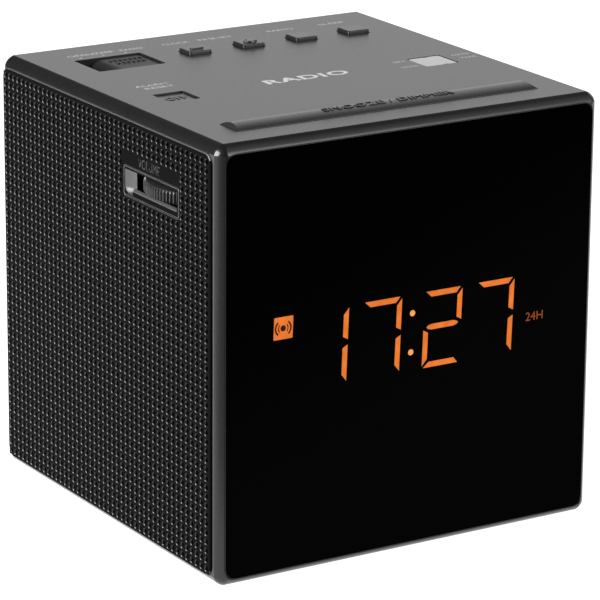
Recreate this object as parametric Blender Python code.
"""Mains clock radio in a cube-shaped cabinet, built as an assembly of separate pieces.

Frame: +Z up, +X to the right of somebody who reads the clock, +Y towards the back.
The origin is under the middle of the cabinet, on the surface that the rubber feet stand on.
Sizes below are in millimetres; the mesh helpers turn them into metres.
"""

import bpy
import bmesh
from math import cos, pi, radians, sin

MM = 0.001
GAP = 0.3                   # clearance between two pieces that touch on the real object

# ---------------------------------------------------------------- cabinet
HALF_WIDTH = 49.5           # cabinet side, without the proud side panels
FRONT_Y = -50.56            # front rim of the cabinet
BACK_Y = 49.33
BOTTOM_Z = 1.2              # the feet lift the cabinet by this much
TOP_Z = 100.9
EDGE_RADIUS = 2.27          # long edges, which run front to back
RIM_RADIUS = 2.2            # edges round the front and the back
WALL = 2.6
INNER_HALF_WIDTH = HALF_WIDTH - WALL
INNER_BOTTOM_Z = BOTTOM_Z + WALL
INNER_TOP_Z = TOP_Z - WALL

# ---------------------------------------------------------------- front window and display
WINDOW_CENTRE_Z = 50.87
WINDOW_WIDTH = 95.8
WINDOW_HEIGHT = 96.1
WINDOW_CORNER = 2.8
WINDOW_FACE_Y = -50.4
WINDOW_BACK_Y = -48.35
WINDOW_CHAMFER = 0.45
WINDOW_LEDGE_Y = WINDOW_BACK_Y + GAP
DIGIT_CENTRE_Z = 52.6
DIGIT_BLOCK_WIDTH = 76.0
DIGIT_BLOCK_HEIGHT = 24.0
MASK_FRONT_Y = -48.0
MASK_BACK_Y = -46.9
DISPLAY_BOARD_Y = -39.7

# ---------------------------------------------------------------- side panels
PANEL_FACE_X = 49.8
PANEL_THICKNESS = 1.4
PANEL_FRONT_Y = -47.6
PANEL_BACK_Y = 47.8
PANEL_BOTTOM_Z = 3.1
PANEL_TOP_Z = 98.6
PANEL_CORNER = 2.6
PANEL_EDGE = 0.35

# ---------------------------------------------------------------- thumbwheels, one on each side
WHEEL_RADIUS = 14.3
WHEEL_RIB_DEPTH = 0.45
WHEEL_RIBS = 92
WHEEL_X = 35.5
WHEEL_Y = -22.2
WHEEL_BOTTOM_Z = 83.0
WHEEL_TOP_Z = 85.8
WHEEL_SHAFT_RADIUS = 3.0
BEZEL_FRONT_Y = -33.9
BEZEL_BACK_Y = -9.9
BEZEL_BOTTOM_Z = 81.3
BEZEL_TOP_Z = 87.9
BEZEL_SLOT_FRONT_Y = -33.1
BEZEL_SLOT_BACK_Y = -15.4
BEZEL_SLOT_BOTTOM_Z = 82.7
BEZEL_SLOT_TOP_Z = 87.4

# ---------------------------------------------------------------- keys on the top
KEY_ROW_Y = 28.7
KEY_ROW_X = 34.5            # the last key; the others step to the left
KEY_PITCH = 14.55
KEY_WIDTH = 6.4
KEY_DEPTH = 6.0
KEY_HEIGHT = 1.2            # how far a key of the row stands above the top
KEY_NAMES = ("key_sleep", "key_radio", "key_plus", "key_minus")
KEY_TRAVEL = 0.6
OFF_KEY = (-34.75, -6.9, 7.5, 7.6)      # centre x, centre y, width, depth
OFF_KEY_SINK = 1.0
CLOCK_KEY = (34.05, -6.3, 8.5, 8.2)
CLOCK_KEY_SINK = 0.25
KEY_FLANGE = 1.5            # rim under the top that keeps a key in
FLANGE_THICKNESS = 1.4
SNOOZE_Y = -37.25
SNOOZE_WIDTH = 78.4
SNOOZE_DEPTH = 7.5
SNOOZE_EDGE_HEIGHT = 0.25
SNOOZE_CREST_HEIGHT = 1.7
SNOOZE_END_SLOPE = 0.8  # how far each end leans in for each mm of height
SNOOZE_STEM_X = 30.0

# ---------------------------------------------------------------- slide switches
ALARM_POCKET = (-29.3, 28.65, 17.2, 12.3)
ALARM_KNOB_LENGTH = 12.6
ALARM_KNOB_SINK = 0.6
ALARM_TRAVEL = 4.0
BAND_Y = -21.9
BAND_Z = 72.0
BAND_TRAVEL = 4.0
BAND_BODY_X = 41.0

# ---------------------------------------------------------------- boards
BOARD_THICKNESS = 1.6
CONTROL_BOARD_Z = 92.0
CONTROL_BOARD_TOP = CONTROL_BOARD_Z + BOARD_THICKNESS
TACT_HEIGHT = 2.0
TACT_SIZE = 6.0
TACT_WELL = 1.9
MAIN_BOARD_Y = -26.0

# ---------------------------------------------------------------- loudspeaker, fires to the left
SPEAKER_Y = 0.0
SPEAKER_Z = 42.0
SPEAKER_RADIUS = 33.0
SPEAKER_FRONT_X = -46.6

# ---------------------------------------------------------------- back and bottom
COVER_FRONT_Y = 46.9
COVER_BACK_Y = 48.9
COVER_SCREW_X = 42.8
COVER_SCREW_LOW_Z = 8.1
COVER_SCREW_HIGH_Z = 94.1
BOSS_SIZE = 7.2
BOSS_FRONT_Y = 38.2
LEAD_GLAND = (28.0, 14.0)       # x, z on the rear cover
AERIAL_GLAND = (-28.0, 14.0)
FOOT_RADIUS = 5.0
FOOT_X = 38.0
FOOT_Y = 38.0
BATTERY_X = -6.0
CELL_Y = 24.5
CELL_OPENING_RADIUS = 11.0
CELL_RADIUS = 10.0
CELL_THICKNESS = 3.2
BATTERY_DOOR = (-6.0, 22.75, 25.4, 29.5)    # centre x, centre y, width, depth
DOOR_SCREW_Y = 10.4
DOOR_BOSS_RADIUS = 2.2


# ================================================================ mesh helpers

def clear_scene():
    for old in list(bpy.data.objects):
        bpy.data.objects.remove(old, do_unlink=True)


def material(name, colour, roughness, metallic=0.0):
    made = bpy.data.materials.new(name)
    made.use_nodes = True
    shader = made.node_tree.nodes["Principled BSDF"]
    shader.inputs["Base Color"].default_value = (*colour, 1.0)
    shader.inputs["Roughness"].default_value = roughness
    shader.inputs["Metallic"].default_value = metallic
    made.diffuse_color = (*colour, 1.0)
    return made


def rectangle(centre_u, centre_v, width, height, radius, steps=4):
    """Outline of a rectangle with round corners, as (u, v) points."""
    points = []
    corners = ((1, 1, 0), (-1, 1, 90), (-1, -1, 180), (1, -1, 270))
    for sign_u, sign_v, start in corners:
        middle_u = centre_u + sign_u * (width / 2 - radius)
        middle_v = centre_v + sign_v * (height / 2 - radius)
        for step in range(steps + 1):
            angle = radians(start + 90 * step / steps)
            points.append((middle_u + radius * cos(angle), middle_v + radius * sin(angle)))
    return points


def circle(centre_u, centre_v, radius, steps=24):
    turn = [2 * pi * step / steps for step in range(steps)]
    return [(centre_u + radius * cos(a), centre_v + radius * sin(a)) for a in turn]


def place(axis, along, u, v):
    """A point in metres from a position along an axis and the two other coordinates."""
    order = {"x": (along, u, v), "y": (u, along, v), "z": (u, v, along)}
    return tuple(MM * value for value in order[axis])


def loft(mesh, axis, sections):
    """Closed solid through outlines of equal length: sections is a list of (position, outline)."""
    rings = []
    for along, outline in sections:
        rings.append([mesh.verts.new(place(axis, along, u, v)) for u, v in outline])
    count = len(rings[0])
    for ring, following in zip(rings, rings[1:]):
        for i in range(count):
            j = (i + 1) % count
            mesh.faces.new((ring[i], ring[j], following[j], following[i]))
    mesh.faces.new(rings[0])
    mesh.faces.new(rings[-1])


def turned(mesh, axis, centre, profile, steps=24):
    """Closed solid turned about an axis: profile is a closed loop of (along, radius) points."""
    rings = []
    for along, radius in profile:
        if radius == 0:
            rings.append([mesh.verts.new(place(axis, along, *centre))])
        else:
            rings.append([mesh.verts.new(place(axis, along, u, v))
                          for u, v in circle(*centre, radius, steps)])
    for ring, following in zip(rings, rings[1:] + rings[:1]):
        if len(ring) == 1 and len(following) == 1:
            continue
        for i in range(steps):
            j = (i + 1) % steps
            if len(ring) == 1:
                mesh.faces.new((ring[0], following[j], following[i]))
            elif len(following) == 1:
                mesh.faces.new((ring[i], ring[j], following[0]))
            else:
                mesh.faces.new((ring[i], ring[j], following[j], following[i]))


def block(mesh, x, y, z):
    """Box from three (low, high) pairs."""
    outline = ((x[0], y[0]), (x[1], y[0]), (x[1], y[1]), (x[0], y[1]))
    loft(mesh, "z", ((z[0], outline), (z[1], outline)))


def span(centre, size):
    return centre - size / 2, centre + size / 2


def finish(name, mesh, look, origin=(0, 0, 0), smooth=True):
    """Turn a bmesh into a named object whose origin sits at a point given in millimetres."""
    bmesh.ops.recalc_face_normals(mesh, faces=mesh.faces)
    shift = [-MM * value for value in origin]
    bmesh.ops.translate(mesh, verts=mesh.verts, vec=shift)
    data = bpy.data.meshes.new(name)
    mesh.to_mesh(data)
    mesh.free()
    if look is not None:
        data.materials.append(look)
    if smooth:
        data.shade_smooth()
        data.set_sharp_from_angle(angle=radians(32))
    made = bpy.data.objects.new(name, data)
    made.location = [MM * value for value in origin]
    bpy.context.scene.collection.objects.link(made)
    return made


def helper(name, mesh):
    """A cutting or joining body that isn't part of the object."""
    made = finish(name, mesh, None, smooth=False)
    made.hide_render = True
    made.display_type = "WIRE"
    return made


def combine(target, operation, other):
    step = target.modifiers.new(other.name, "BOOLEAN")
    step.operation = operation
    step.solver = "EXACT"
    step.object = other


# ================================================================ materials

def make_materials():
    looks = {
        "cabinet": material("satin_black_plastic", (0.022, 0.022, 0.023), 0.38),
        "panel": material("grille_black_plastic", (0.018, 0.018, 0.019), 0.42),
        "window": material("window_black_acrylic", (0.003, 0.003, 0.003), 0.06),
        "key": material("key_black_plastic", (0.024, 0.024, 0.025), 0.36),
        "clock_key": material("key_grey_plastic", (0.33, 0.33, 0.34), 0.35),
        "wheel": material("wheel_black_plastic", (0.03, 0.03, 0.031), 0.34),
        "display": material("display_white_plastic", (0.72, 0.70, 0.66), 0.5),
        "board": material("circuit_board", (0.05, 0.19, 0.07), 0.45),
        "steel": material("zinc_steel", (0.62, 0.62, 0.6), 0.32, 1.0),
        "copper": material("enamelled_copper", (0.62, 0.24, 0.09), 0.35, 0.7),
        "ferrite": material("ferrite", (0.05, 0.048, 0.047), 0.6),
        "paper": material("speaker_paper", (0.035, 0.034, 0.033), 0.85),
        "rubber": material("black_rubber", (0.015, 0.015, 0.015), 0.8),
        "sleeve": material("capacitor_sleeve", (0.015, 0.03, 0.09), 0.4),
    }
    return looks


# ================================================================ cabinet

def rounded_cabinet_sections(steps=5):
    """Front to back outlines of the cabinet, with a quarter round at both ends."""
    centre_z = (BOTTOM_Z + TOP_Z) / 2
    sections = []
    ends = [(FRONT_Y, 1, step) for step in range(steps + 1)]
    ends += [(BACK_Y, -1, step) for step in range(steps, -1, -1)]
    for end_y, direction, step in ends:
        angle = radians(90 * step / steps)
        inset = RIM_RADIUS * (1 - sin(angle))
        y = end_y + direction * RIM_RADIUS * (1 - cos(angle))
        outline = rectangle(0, centre_z, 2 * (HALF_WIDTH - inset), TOP_Z - BOTTOM_Z - 2 * inset,
                            EDGE_RADIUS - inset, 5)
        sections.append((y, outline))
    return sections


def key_row_positions():
    for index, name in enumerate(KEY_NAMES):
        yield name, KEY_ROW_X - index * KEY_PITCH, KEY_ROW_Y


def make_cabinet(looks):
    mesh = bmesh.new()
    loft(mesh, "y", rounded_cabinet_sections())
    shell = finish("cabinet_shell", mesh, looks["cabinet"])

    cavity = bmesh.new()
    block(cavity, (-INNER_HALF_WIDTH, INNER_HALF_WIDTH), (WINDOW_BACK_Y - 0.6, BACK_Y + 2),
          (INNER_BOTTOM_Z, INNER_TOP_Z))
    combine(shell, "DIFFERENCE", helper("cut_cavity", cavity))

    pocket = bmesh.new()
    outline = rectangle(0, WINDOW_CENTRE_Z, WINDOW_WIDTH + 2 * GAP, WINDOW_HEIGHT + 2 * GAP,
                        WINDOW_CORNER + GAP)
    loft(pocket, "y", ((FRONT_Y - 2, outline), (WINDOW_LEDGE_Y, outline)))
    combine(shell, "DIFFERENCE", helper("cut_window_pocket", pocket))

    combine(shell, "UNION", make_inner_bosses())
    combine(shell, "DIFFERENCE", make_top_cutter())
    combine(shell, "DIFFERENCE", make_side_cutter("cut_panel_recess_left", -1))
    combine(shell, "DIFFERENCE", make_side_cutter("cut_panel_recess_right", 1))
    combine(shell, "DIFFERENCE", make_side_opening_cutter())
    combine(shell, "DIFFERENCE", make_bottom_cutter())
    combine(shell, "DIFFERENCE", make_battery_cutter())
    combine(shell, "DIFFERENCE", make_pilot_hole_cutter())
    return shell


def cover_screw_places():
    for x in (-COVER_SCREW_X, COVER_SCREW_X):
        for z in (COVER_SCREW_LOW_Z, COVER_SCREW_HIGH_Z):
            yield x, z


def make_inner_bosses():
    """Four screw bosses in the rear corners and four posts that carry the control board."""
    mesh = bmesh.new()
    for side in (-1, 1):
        outer = side * (INNER_HALF_WIDTH + 0.5)
        inner = side * (INNER_HALF_WIDTH - BOSS_SIZE)
        x = (min(outer, inner), max(outer, inner))
        y = (BOSS_FRONT_Y, COVER_FRONT_Y - GAP)
        block(mesh, x, y, (INNER_BOTTOM_Z - 0.5, INNER_BOTTOM_Z + BOSS_SIZE))
        block(mesh, x, y, (INNER_TOP_Z - BOSS_SIZE, INNER_TOP_Z + 0.5))
        for post_y in (-27.5, 15.0):
            outline = circle(side * 43.8, post_y, 2.0, 12)
            loft(mesh, "z", ((CONTROL_BOARD_TOP + GAP, outline), (INNER_TOP_Z + 0.5, outline)))
    outline = circle(BATTERY_X, DOOR_SCREW_Y, DOOR_BOSS_RADIUS, 16)
    loft(mesh, "z", ((INNER_BOTTOM_Z - 0.5, outline), (8.0, outline)))
    return helper("join_bosses", mesh)


def make_top_cutter():
    """Openings in the top for the keys, the snooze bar and the alarm switch."""
    mesh = bmesh.new()
    openings = [(x, y, KEY_WIDTH, KEY_DEPTH) for name, x, y in key_row_positions()]
    openings += [OFF_KEY, CLOCK_KEY, (0, SNOOZE_Y, SNOOZE_WIDTH, SNOOZE_DEPTH)]
    for x, y, width, depth in openings:
        outline = rectangle(x, y, width + 2 * GAP, depth + 2 * GAP, 0.7, 2)
        loft(mesh, "z", ((INNER_TOP_Z - 1, outline), (TOP_Z + 1, outline)))
    outline = rectangle(*ALARM_POCKET, 0.4, 2)
    loft(mesh, "z", ((INNER_TOP_Z - 1, outline), (TOP_Z + 1, outline)))
    return helper("cut_top_openings", mesh)


def panel_outline(grow):
    return rectangle((PANEL_FRONT_Y + PANEL_BACK_Y) / 2, (PANEL_BOTTOM_Z + PANEL_TOP_Z) / 2,
                     PANEL_BACK_Y - PANEL_FRONT_Y + 2 * grow,
                     PANEL_TOP_Z - PANEL_BOTTOM_Z + 2 * grow, PANEL_CORNER + grow)


def make_side_cutter(name, side):
    """Shallow recess that takes a side panel."""
    mesh = bmesh.new()
    floor_x = PANEL_FACE_X - PANEL_THICKNESS - GAP
    outline = panel_outline(GAP)
    loft(mesh, "x", ((side * floor_x, outline), (side * (HALF_WIDTH + 1), outline)))
    return helper(name, mesh)


def make_side_opening_cutter():
    """Sound opening on the left, vents on the right, and a slot for a thumbwheel on each side."""
    mesh = bmesh.new()
    near = INNER_HALF_WIDTH - 1
    far = HALF_WIDTH + 1
    sound = circle(SPEAKER_Y, SPEAKER_Z, SPEAKER_RADIUS - 4.5, 32)
    loft(mesh, "x", ((-far, sound), (-near, sound)))
    for row in range(5):
        vent = rectangle(8, 22 + 9 * row, 54, 5, 2.4, 3)
        loft(mesh, "x", ((near, vent), (far, vent)))
    for side in (-1, 1):
        slot = rectangle(WHEEL_Y, (BEZEL_BOTTOM_Z + BEZEL_TOP_Z) / 2, 20.4, 5.4, 0.5, 2)
        loft(mesh, "x", ((side * near, slot), (side * far, slot)))
    band = rectangle(BAND_Y, BAND_Z, 9.6, 4.2, 0.4, 2)
    loft(mesh, "x", ((near, band), (far, band)))
    return helper("cut_side_openings", mesh)


def make_bottom_cutter():
    """Pockets for the feet and the battery door."""
    mesh = bmesh.new()
    for x, y in foot_places():
        outline = circle(x, y, FOOT_RADIUS + GAP)
        loft(mesh, "z", ((BOTTOM_Z - 1, outline), (BOTTOM_Z + 1.1, outline)))
    x, y, width, depth = BATTERY_DOOR
    door = rectangle(x, y, width + 2 * GAP, depth + 2 * GAP, 1.5, 3)
    loft(mesh, "z", ((BOTTOM_Z - 1, door), (BOTTOM_Z + 1.4, door)))
    return helper("cut_bottom_pockets", mesh)


def make_battery_cutter():
    """Round opening for the cell and the hole for the door screw, above the door's pocket."""
    mesh = bmesh.new()
    opening = circle(BATTERY_X, CELL_Y, CELL_OPENING_RADIUS, 32)
    loft(mesh, "z", ((BOTTOM_Z + 1, opening), (INNER_BOTTOM_Z + 1, opening)))
    hole = circle(BATTERY_X, DOOR_SCREW_Y, 1.3, 12)
    loft(mesh, "z", ((BOTTOM_Z + 1, hole), (9.0, hole)))
    return helper("cut_battery_opening", mesh)


def make_pilot_hole_cutter():
    mesh = bmesh.new()
    for x, z in cover_screw_places():
        outline = circle(x, z, 1.7, 12)
        loft(mesh, "y", ((BOSS_FRONT_Y + 1, outline), (COVER_BACK_Y, outline)))
    return helper("cut_pilot_holes", mesh)


# ================================================================ front

def make_front(looks):
    mesh = bmesh.new()
    full = rectangle(0, WINDOW_CENTRE_Z, WINDOW_WIDTH, WINDOW_HEIGHT, WINDOW_CORNER)
    face = rectangle(0, WINDOW_CENTRE_Z, WINDOW_WIDTH - 2 * WINDOW_CHAMFER,
                     WINDOW_HEIGHT - 2 * WINDOW_CHAMFER, WINDOW_CORNER - WINDOW_CHAMFER)
    loft(mesh, "y", ((WINDOW_FACE_Y, face), (WINDOW_FACE_Y + WINDOW_CHAMFER, full),
                     (WINDOW_BACK_Y, full)))
    finish("front_window", mesh, looks["window"])

    mesh = bmesh.new()
    half = INNER_HALF_WIDTH - GAP
    block(mesh, (-half, half), (MASK_FRONT_Y, MASK_BACK_Y),
          (INNER_BOTTOM_Z + GAP, INNER_TOP_Z - GAP))
    mask = finish("display_mask", mesh, looks["panel"])
    cutter = bmesh.new()
    block(cutter, span(0, DIGIT_BLOCK_WIDTH + 2 * GAP), (MASK_FRONT_Y - 1, MASK_BACK_Y + 1),
          span(DIGIT_CENTRE_Z, DIGIT_BLOCK_HEIGHT + 2 * GAP))
    combine(mask, "DIFFERENCE", helper("cut_mask_opening", cutter))

    mesh = bmesh.new()
    block(mesh, span(0, DIGIT_BLOCK_WIDTH), (MASK_FRONT_Y + 0.8, DISPLAY_BOARD_Y - GAP),
          span(DIGIT_CENTRE_Z, DIGIT_BLOCK_HEIGHT))
    finish("digit_block", mesh, looks["display"])

    mesh = bmesh.new()
    block(mesh, span(0, DIGIT_BLOCK_WIDTH - 1), (MASK_FRONT_Y, MASK_FRONT_Y + 0.5),
          span(DIGIT_CENTRE_Z, DIGIT_BLOCK_HEIGHT - 1))
    finish("digit_diffuser", mesh, looks["window"])

    mesh = bmesh.new()
    block(mesh, span(0, 84), (DISPLAY_BOARD_Y, DISPLAY_BOARD_Y + BOARD_THICKNESS),
          span(DIGIT_CENTRE_Z, 36))
    finish("display_board", mesh, looks["board"])


# ================================================================ sides

def make_side_panel(name, side, look):
    mesh = bmesh.new()
    back_x = PANEL_FACE_X - PANEL_THICKNESS
    loft(mesh, "x", ((side * back_x, panel_outline(0)),
                     (side * (PANEL_FACE_X - PANEL_EDGE), panel_outline(0)),
                     (side * PANEL_FACE_X, panel_outline(-PANEL_EDGE))))
    panel = finish(name, mesh, look)
    cutter = bmesh.new()
    outline = rectangle((BEZEL_FRONT_Y + BEZEL_BACK_Y) / 2, (BEZEL_BOTTOM_Z + BEZEL_TOP_Z) / 2,
                        BEZEL_BACK_Y - BEZEL_FRONT_Y + 2 * GAP,
                        BEZEL_TOP_Z - BEZEL_BOTTOM_Z + 2 * GAP, 0.6, 2)
    loft(cutter, "x", ((side * (back_x - 1), outline), (side * (PANEL_FACE_X + 1), outline)))
    if side > 0:
        band = rectangle(BAND_Y, BAND_Z, 9.6, 4.2, 0.4, 2)
        loft(cutter, "x", ((back_x - 1, band), (PANEL_FACE_X + 1, band)))
    combine(panel, "DIFFERENCE", helper("cut_openings_" + name, cutter))


def make_wheel_bezel(name, side, look):
    """Frame round a thumbwheel, with a slope at its back end that leads a finger in."""
    mesh = bmesh.new()
    back_x = PANEL_FACE_X - PANEL_THICKNESS - 0.1
    outline = rectangle((BEZEL_FRONT_Y + BEZEL_BACK_Y) / 2, (BEZEL_BOTTOM_Z + BEZEL_TOP_Z) / 2,
                        BEZEL_BACK_Y - BEZEL_FRONT_Y, BEZEL_TOP_Z - BEZEL_BOTTOM_Z, 0.5, 2)
    loft(mesh, "x", ((side * back_x, outline), (side * PANEL_FACE_X, outline)))
    bezel = finish(name, mesh, look)

    slot = bmesh.new()
    block(slot, tuple(sorted((side * (back_x - 1), side * (PANEL_FACE_X + 1)))),
          (BEZEL_SLOT_FRONT_Y, BEZEL_SLOT_BACK_Y), (BEZEL_SLOT_BOTTOM_Z, BEZEL_SLOT_TOP_Z))
    combine(bezel, "DIFFERENCE", helper("cut_slot_" + name, slot))

    scoop = bmesh.new()
    start_y = BEZEL_SLOT_BACK_Y - 0.5
    end_y = BEZEL_BACK_Y - 0.4
    floor_x = back_x + 0.4
    slope = [(side * (PANEL_FACE_X + 1), start_y), (side * floor_x, start_y),
             (side * floor_x, BEZEL_SLOT_BACK_Y + 1.2), (side * (PANEL_FACE_X + 0.02), end_y),
             (side * (PANEL_FACE_X + 1), end_y)]
    loft(scoop, "z", ((BEZEL_SLOT_BOTTOM_Z, slope), (BEZEL_SLOT_TOP_Z, slope)))
    combine(bezel, "DIFFERENCE", helper("cut_scoop_" + name, scoop))


def wheel_outline(centre_x):
    """Ribbed rim: crest, crest, root, root for each rib."""
    points = []
    for rib in range(WHEEL_RIBS):
        root = WHEEL_RADIUS - WHEEL_RIB_DEPTH
        for part, radius in ((0.0, WHEEL_RADIUS), (0.45, WHEEL_RADIUS), (0.6, root), (0.85, root)):
            angle = 2 * pi * (rib + part) / WHEEL_RIBS
            points.append((centre_x + radius * cos(angle), WHEEL_Y + radius * sin(angle)))
    return points


def make_thumbwheel(name, side, look):
    """Ribbed disc with the short shaft that turns inside the part hung from the board."""
    centre_x = side * WHEEL_X
    mesh = bmesh.new()
    outline = wheel_outline(centre_x)
    loft(mesh, "z", ((WHEEL_BOTTOM_Z, outline), (WHEEL_TOP_Z, outline)))
    wheel = finish(name, mesh, look, origin=(centre_x, WHEEL_Y, WHEEL_BOTTOM_Z))
    shaft = bmesh.new()
    outline = circle(centre_x, WHEEL_Y, WHEEL_SHAFT_RADIUS, 16)
    loft(shaft, "z", ((WHEEL_TOP_Z - 1, outline), (90.0, outline)))
    combine(wheel, "UNION", helper("join_shaft_" + name, shaft))


def make_rotary_part(name, side, outline, look):
    """Body under the control board whose bore takes a thumbwheel's shaft."""
    mesh = bmesh.new()
    top = CONTROL_BOARD_Z - GAP
    loft(mesh, "z", ((87.3, outline), (top, outline)))
    body = finish(name, mesh, look)
    bore = bmesh.new()
    hole = circle(side * WHEEL_X, WHEEL_Y, WHEEL_SHAFT_RADIUS + GAP, 16)
    loft(bore, "z", ((86, hole), (90.4, hole)))
    combine(body, "DIFFERENCE", helper("cut_bore_" + name, bore))


def make_band_switch(looks):
    mesh = bmesh.new()
    rest_y = BAND_Y + BAND_TRAVEL / 2
    block(mesh, (PANEL_FACE_X - 2.6, PANEL_FACE_X), span(rest_y, 4.6), span(BAND_Z, 3.2))
    knob = finish("band_switch_knob", mesh, looks["key"], origin=(PANEL_FACE_X - 3, rest_y, BAND_Z))
    stem = bmesh.new()
    block(stem, (44.6, PANEL_FACE_X - 1), span(rest_y, 2.2), span(BAND_Z, 1.8))
    combine(knob, "UNION", helper("join_band_stem", stem))

    mesh = bmesh.new()
    block(mesh, (BAND_BODY_X, BAND_BODY_X + 5), span(BAND_Y, 13), span(BAND_Z, 7))
    body = finish("band_switch_body", mesh, looks["steel"])
    slot = bmesh.new()
    block(slot, (43.8, 47.0), span(BAND_Y, 7.4), span(BAND_Z, 2.6))
    combine(body, "DIFFERENCE", helper("cut_band_slot", slot))


def make_sides(looks):
    make_side_panel("side_panel_left", -1, looks["panel"])
    make_side_panel("side_panel_right", 1, looks["panel"])
    make_wheel_bezel("volume_bezel", -1, looks["key"])
    make_wheel_bezel("tuning_bezel", 1, looks["key"])
    make_thumbwheel("volume_wheel", -1, looks["wheel"])
    make_thumbwheel("tuning_wheel", 1, looks["wheel"])
    pot = circle(-WHEEL_X, WHEEL_Y, 8.0)
    make_rotary_part("volume_potentiometer", -1, pot, looks["steel"])
    capacitor = rectangle(WHEEL_X, WHEEL_Y, 20, 20, 1, 2)
    make_rotary_part("tuning_capacitor", 1, capacitor, looks["display"])
    make_band_switch(looks)


# ================================================================ top controls

def make_key(name, x, y, width, depth, top_z, look):
    """Cap through the top, a flange that keeps it in, and a stem over its switch."""
    flange_top = INNER_TOP_Z - GAP
    flange_bottom = flange_top - FLANGE_THICKNESS
    flange = rectangle(x, y, width + 2 * KEY_FLANGE, depth + 2 * KEY_FLANGE, 0.6, 2)
    cap = rectangle(x, y, width, depth, 0.5, 2)
    crown = rectangle(x, y, width - 0.7, depth - 0.7, 0.4, 2)
    mesh = bmesh.new()
    loft(mesh, "z", ((flange_bottom, flange), (flange_top, flange), (flange_top, cap),
                     (top_z - 0.35, cap), (top_z, crown)))
    key = finish(name, mesh, look, origin=(x, y, flange_bottom))
    add_stems(key, [(x, y)], flange_bottom)


def add_stems(key, places, top_z):
    stems = bmesh.new()
    for x, y in places:
        outline = circle(x, y, 1.4, 12)
        loft(stems, "z", ((CONTROL_BOARD_TOP + GAP + 1.3, outline), (top_z + 0.5, outline)))
        add_tact_switch_place(key.name, x, y)
    combine(key, "UNION", helper("join_stems_" + key.name, stems))


TACT_PLACES = []


def add_tact_switch_place(owner, x, y):
    TACT_PLACES.append((owner, x, y))


def make_snooze_bar(look):
    """Long bar with a convex back-to-front section that stands a little above the top."""
    flange_top = INNER_TOP_Z - GAP
    flange_bottom = flange_top - FLANGE_THICKNESS
    half = SNOOZE_DEPTH / 2
    front = SNOOZE_Y - half
    back = SNOOZE_Y + half
    section = [(front - KEY_FLANGE, flange_bottom), (back + KEY_FLANGE, flange_bottom),
               (back + KEY_FLANGE, flange_top), (back, flange_top)]
    steps = 10
    for step in range(steps + 1):
        part = 1 - 2 * step / steps
        rise = SNOOZE_EDGE_HEIGHT + (SNOOZE_CREST_HEIGHT - SNOOZE_EDGE_HEIGHT) * (1 - part * part)
        section.append((SNOOZE_Y + part * half, TOP_Z + rise))
    section += [(front, flange_top), (front - KEY_FLANGE, flange_top)]
    mesh = bmesh.new()
    half_width = SNOOZE_WIDTH / 2
    loft(mesh, "x", ((-half_width, section), (half_width, section)))
    bar = finish("snooze_bar", mesh, look, origin=(0, SNOOZE_Y, flange_bottom))
    low = TOP_Z + SNOOZE_EDGE_HEIGHT
    high = TOP_Z + SNOOZE_CREST_HEIGHT + 1
    run = SNOOZE_END_SLOPE * (high - low)
    for side in (-1, 1):
        wedge = [(side * half_width, low), (side * (half_width - run), high),
                 (side * (half_width + 1), high), (side * (half_width + 1), low)]
        cutter = bmesh.new()
        loft(cutter, "y", ((front - 1, wedge), (back + 1, wedge)))
        combine(bar, "DIFFERENCE", helper("slope_snooze_end", cutter))
    add_stems(bar, [(-SNOOZE_STEM_X, SNOOZE_Y), (SNOOZE_STEM_X, SNOOZE_Y)], flange_bottom)


def make_tact_switches(look):
    """One push switch on the board under each stem, with a well that the stem enters."""
    seen = {}
    for owner, x, y in TACT_PLACES:
        seen[owner] = seen.get(owner, 0) + 1
        name = owner.replace("key_", "switch_").replace("snooze_bar", "switch_snooze")
        if owner == "snooze_bar":
            name += "_left" if x < 0 else "_right"
        mesh = bmesh.new()
        bottom = CONTROL_BOARD_TOP + GAP
        block(mesh, span(x, TACT_SIZE), span(y, TACT_SIZE), (bottom, bottom + TACT_HEIGHT))
        switch = finish(name, mesh, look)
        well = bmesh.new()
        outline = circle(x, y, TACT_WELL, 12)
        loft(well, "z", ((bottom + 0.4, outline), (bottom + TACT_HEIGHT + 1, outline)))
        combine(switch, "DIFFERENCE", helper("cut_well_" + name, well))


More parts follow.
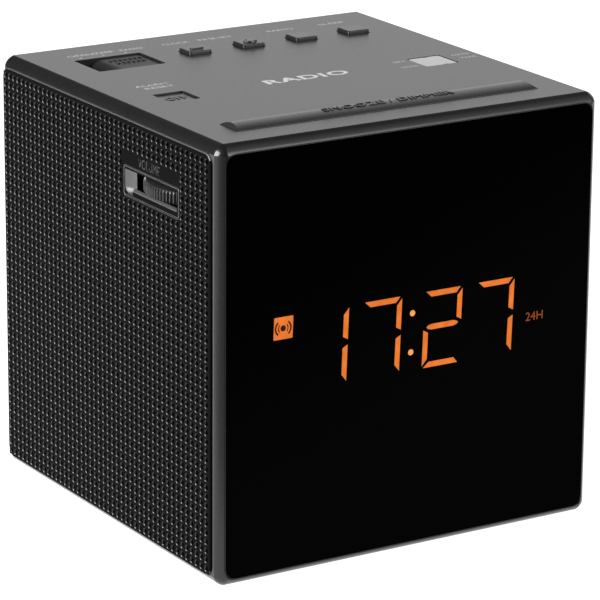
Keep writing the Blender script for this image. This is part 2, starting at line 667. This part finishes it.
def make_alarm_switch(looks):
    """Slide switch in an open pocket: a knob on a wide skirt that always closes the pocket."""
    centre_x, y, pocket_width, pocket_depth = ALARM_POCKET
    right = centre_x + pocket_width / 2 - 0.4
    left = right - ALARM_KNOB_LENGTH
    top_z = TOP_Z - ALARM_KNOB_SINK
    skirt_top = INNER_TOP_Z - GAP
    profile = [(left, skirt_top - 0.5), (right, skirt_top - 0.5), (right, top_z - 0.3),
               (right - 0.3, top_z)]
    steps = 6
    nose = 3.0
    for step in range(steps + 1):
        angle = radians(90 * step / steps)
        profile.append((left + nose - nose * sin(angle), top_z - 2.2 * (1 - cos(angle))))
    mesh = bmesh.new()
    half_depth = pocket_depth / 2 - GAP
    loft(mesh, "y", ((y - half_depth, profile), (y + half_depth, profile)))
    knob = finish("alarm_switch_knob", mesh, looks["key"],
                  origin=(right - ALARM_KNOB_LENGTH / 2, y, skirt_top))
    skirt = bmesh.new()
    block(skirt, (left - 5.7, right + ALARM_TRAVEL + 0.7), span(y, pocket_depth + 2),
          (skirt_top - 1.2, skirt_top))
    combine(knob, "UNION", helper("join_alarm_skirt", skirt))
    stem = bmesh.new()
    stem_x = centre_x + ALARM_TRAVEL / 2
    bottom = CONTROL_BOARD_TOP + GAP
    block(stem, span(stem_x, 2.4), span(y, 2.4), (bottom + 0.8, skirt_top - 0.6))
    combine(knob, "UNION", helper("join_alarm_stem", stem))

    mesh = bmesh.new()
    block(mesh, span(centre_x, 14), span(y, 7), (bottom, bottom + 2.4))
    body = finish("alarm_switch_body", mesh, looks["steel"])
    slot = bmesh.new()
    block(slot, span(centre_x, 7.2), span(y, 3.2), (bottom + 0.4, bottom + 4))
    combine(body, "DIFFERENCE", helper("cut_alarm_slot", slot))


def make_top_controls(looks):
    for name, x, y in key_row_positions():
        make_key(name, x, y, KEY_WIDTH, KEY_DEPTH, TOP_Z + KEY_HEIGHT, looks["key"])
    make_key("key_off", *OFF_KEY, TOP_Z - OFF_KEY_SINK, looks["key"])
    make_key("key_clock", *CLOCK_KEY, TOP_Z - CLOCK_KEY_SINK, looks["clock_key"])
    make_snooze_bar(looks["key"])
    make_tact_switches(looks["steel"])
    make_alarm_switch(looks)


# ================================================================ inside

def make_boards(looks):
    mesh = bmesh.new()
    block(mesh, (-45.8, 45.8), (-44.0, 36.6), (CONTROL_BOARD_Z, CONTROL_BOARD_TOP))
    finish("control_board", mesh, looks["board"])
    mesh = bmesh.new()
    block(mesh, (-20, BAND_BODY_X - GAP), (MAIN_BOARD_Y, MAIN_BOARD_Y + BOARD_THICKNESS),
          (INNER_BOTTOM_Z + GAP, 78))
    finish("main_board", mesh, looks["board"])
    mesh = bmesh.new()
    start = MAIN_BOARD_Y + BOARD_THICKNESS + GAP
    turned(mesh, "y", (30, 62), ((start, 0), (start, 6.3), (start + 19, 6.3), (start + 19.6, 5.7),
                                 (start + 19.6, 0)))
    finish("smoothing_capacitor", mesh, looks["sleeve"])


def make_speaker(looks):
    """Steel basket with its flange against the left wall, a paper cone and a ring magnet."""
    centre = (SPEAKER_Y, SPEAKER_Z)
    front = SPEAKER_FRONT_X
    rim = SPEAKER_RADIUS
    mesh = bmesh.new()
    turned(mesh, "x", centre, ((front, rim - 4.5), (front, rim), (front + 1.2, rim),
                               (front + 1.2, rim - 3.4), (front + 11, 15.5), (front + 11, 0),
                               (front + 10, 0), (front + 10, 14.6), (front + 2, rim - 4.5)), 32)
    finish("speaker_basket", mesh, looks["steel"])

    mesh = bmesh.new()
    edge = rim - 5.4
    turned(mesh, "x", centre, ((front + 0.4, edge - 1.2), (front + 1.3, edge), (front + 2.0, edge - 0.4),
                               (front + 1.4, edge - 1.6), (front + 2.1, edge - 3), (front + 7.4, 8.6),
                               (front + 6.2, 6), (front + 5.4, 0), (front + 4.9, 0), (front + 5.7, 6.2),
                               (front + 6.7, 8.2), (front + 1.5, edge - 3)), 32)
    finish("speaker_cone", mesh, looks["paper"], origin=(front + 4, *centre))

    mesh = bmesh.new()
    back = front + 11 + GAP
    turned(mesh, "x", centre, ((back, 0), (back, 16), (back + 9, 16), (back + 9, 0)), 32)
    finish("speaker_magnet", mesh, looks["ferrite"])


def make_transformer(looks):
    """Laminated core with one winding round its middle leg."""
    core_x = span(26, 18)
    core_y = span(22, 40)
    core_z = (INNER_BOTTOM_Z + GAP, INNER_BOTTOM_Z + 33.3)
    mesh = bmesh.new()
    block(mesh, core_x, core_y, core_z)
    core = finish("transformer_core", mesh, looks["steel"])
    windows = bmesh.new()
    for centre_y in (12.2, 31.8):
        block(windows, (core_x[0] - 1, core_x[1] + 1), span(centre_y, 7.6), (10, 31))
    combine(core, "DIFFERENCE", helper("cut_core_windows", windows))

    mesh = bmesh.new()
    block(mesh, span(26, 30), span(22, 25.6), (11, 30))
    winding = finish("transformer_winding", mesh, looks["copper"])
    leg = bmesh.new()
    block(leg, span(26, 18.8), span(22, 12.8), (10, 31))
    combine(winding, "DIFFERENCE", helper("cut_core_leg", leg))


def make_aerial(looks):
    """Ferrite rod aerial across the back, with its coil and two holders."""
    centre = (36.0, 80.0)
    mesh = bmesh.new()
    turned(mesh, "x", centre, ((-35, 0), (-35, 4.5), (35, 4.5), (35, 0)))
    finish("ferrite_rod", mesh, looks["ferrite"])
    mesh = bmesh.new()
    turned(mesh, "x", centre, ((4, 4.8), (4, 5.8), (20, 5.8), (20, 4.8)))
    finish("aerial_coil", mesh, looks["copper"])
    for name, x in (("aerial_holder_left", -26), ("aerial_holder_right", 28)):
        mesh = bmesh.new()
        block(mesh, span(x, 5), (29.5, COVER_FRONT_Y - GAP), (73.5, 86.5))
        holder = finish(name, mesh, looks["display"])
        hole = bmesh.new()
        turned(hole, "x", centre, ((x - 4, 0), (x - 4, 4.8), (x + 4, 4.8), (x + 4, 0)))
        combine(holder, "DIFFERENCE", helper("cut_" + name, hole))


# ================================================================ back and bottom

def make_gland(name, x, z, bore, body, flange, look):
    """Bush in the rear cover for a lead; the lead itself isn't part of this object."""
    mesh = bmesh.new()
    inner = COVER_FRONT_Y - 3
    face = COVER_BACK_Y + GAP
    outer = -FRONT_Y
    turned(mesh, "y", (x, z), ((inner, bore), (inner, body), (face, body), (face, flange),
                               (outer - 0.5, flange), (outer, flange - 0.5), (outer, bore)), 20)
    finish(name, mesh, look)


def make_screw(name, axis, centre, seat, head_radius, head_height, shank_radius, length, look):
    """Pan-head screw with a cross slot: its head stands away from seat, its shank goes in."""
    direction = 1 if head_height > 0 else -1
    mesh = bmesh.new()
    tip = seat - direction * length
    crown = seat + head_height
    turned(mesh, axis, centre, ((tip, 0), (tip, shank_radius * 0.6), (tip + direction, shank_radius),
                                (seat, shank_radius), (seat, head_radius),
                                (seat + head_height * 0.5, head_radius),
                                (crown, head_radius * 0.8), (crown, 0)), 14)
    screw = finish(name, mesh, look)
    slots = bmesh.new()
    u, v = centre
    reach = head_radius * 0.55
    half = 0.35
    outline = []
    for turn in range(4):
        for along, across in ((reach, -half), (reach, half), (half, half)):
            angle = pi / 2 * turn
            outline.append((u + along * cos(angle) - across * sin(angle),
                            v + along * sin(angle) + across * cos(angle)))
    loft(slots, axis, ((seat + head_height * 0.4, outline), (seat + head_height * 2, outline)))
    combine(screw, "DIFFERENCE", helper("cut_" + name, slots))


def make_rear_cover(looks):
    centre_z = (INNER_BOTTOM_Z + INNER_TOP_Z) / 2
    width = 2 * (INNER_HALF_WIDTH - GAP)
    height = INNER_TOP_Z - INNER_BOTTOM_Z - 2 * GAP
    full = rectangle(0, centre_z, width, height, 1.0, 2)
    face = rectangle(0, centre_z, width - 1.0, height - 1.0, 0.8, 2)
    mesh = bmesh.new()
    loft(mesh, "y", ((COVER_FRONT_Y, full), (COVER_BACK_Y - 0.5, full), (COVER_BACK_Y, face)))
    cover = finish("rear_cover", mesh, looks["panel"])

    cuts = bmesh.new()
    for x, z in cover_screw_places():
        seat = COVER_BACK_Y - 1.3
        turned(cuts, "y", (x, z), ((COVER_FRONT_Y - 1, 0), (COVER_FRONT_Y - 1, 1.8), (seat, 1.8),
                                   (seat, 3.5), (COVER_BACK_Y + 1, 3.5), (COVER_BACK_Y + 1, 0)), 16)
    for (x, z), radius in ((LEAD_GLAND, 4.7), (AERIAL_GLAND, 2.9)):
        outline = circle(x, z, radius)
        loft(cuts, "y", ((COVER_FRONT_Y - 1, outline), (COVER_BACK_Y + 1, outline)))
    for row in range(6):
        outline = rectangle(0, 52 + 6 * row, 44, 2.4, 1.1, 3)
        loft(cuts, "y", ((COVER_FRONT_Y - 1, outline), (COVER_BACK_Y + 1, outline)))
    combine(cover, "DIFFERENCE", helper("cut_rear_cover", cuts))

    for index, (x, z) in enumerate(cover_screw_places(), start=1):
        make_screw(f"rear_cover_screw_{index}", "y", (x, z), COVER_BACK_Y - 1.0, 3.1, 0.9, 1.4, 8.0,
                   looks["steel"])
    make_gland("mains_lead_gland", *LEAD_GLAND, 3.1, 4.4, 6.0, looks["rubber"])
    make_gland("aerial_wire_gland", *AERIAL_GLAND, 1.2, 2.6, 4.0, looks["rubber"])


def foot_places():
    for x in (-FOOT_X, FOOT_X):
        for y in (-FOOT_Y, FOOT_Y):
            yield x, y


def make_bottom(looks):
    for index, (x, y) in enumerate(foot_places(), start=1):
        mesh = bmesh.new()
        low = circle(x, y, FOOT_RADIUS - 0.4)
        full = circle(x, y, FOOT_RADIUS)
        loft(mesh, "z", ((0, low), (0.4, full), (BOTTOM_Z + 0.8, full)))
        finish(f"foot_{index}", mesh, looks["rubber"])

    door_screw = (BATTERY_X, DOOR_SCREW_Y)
    mesh = bmesh.new()
    outline = rectangle(*BATTERY_DOOR, 1.2, 3)
    loft(mesh, "z", ((BOTTOM_Z, outline), (BOTTOM_Z + 1.1, outline)))
    door = finish("battery_door", mesh, looks["panel"])
    hole = bmesh.new()
    turned(hole, "z", door_screw, ((BOTTOM_Z - 1, 0), (BOTTOM_Z - 1, 2.6), (BOTTOM_Z + 0.6, 2.6),
                                   (BOTTOM_Z + 0.6, 1.4), (BOTTOM_Z + 3, 1.4), (BOTTOM_Z + 3, 0)), 16)
    combine(door, "DIFFERENCE", helper("cut_battery_door", hole))
    make_screw("battery_door_screw", "z", door_screw, BOTTOM_Z + 0.3, 2.2, -0.25, 1.0, 5.0,
               looks["steel"])

    centre = (BATTERY_X, CELL_Y)
    holder_low = INNER_BOTTOM_Z + GAP
    cell_low = INNER_BOTTOM_Z - 0.4
    cell_high = cell_low + CELL_THICKNESS
    mesh = bmesh.new()
    turned(mesh, "z", centre, ((cell_low, 0), (cell_low, CELL_RADIUS - 1), (cell_low + 0.4, CELL_RADIUS),
                               (cell_high, CELL_RADIUS), (cell_high, 0)))
    finish("coin_cell", mesh, looks["steel"])
    mesh = bmesh.new()
    inside = CELL_RADIUS + 0.4
    outside = CELL_RADIUS + 1.6
    roof = cell_high + GAP
    turned(mesh, "z", centre, ((holder_low, inside), (holder_low, outside), (roof + 1.6, outside),
                               (roof + 1.6, 0), (roof, 0), (roof, inside)))
    finish("battery_holder", mesh, looks["display"])


def main():
    clear_scene()
    looks = make_materials()
    make_cabinet(looks)
    make_front(looks)
    make_sides(looks)
    make_top_controls(looks)
    make_boards(looks)
    make_speaker(looks)
    make_transformer(looks)
    make_aerial(looks)
    make_rear_cover(looks)
    make_bottom(looks)


main()
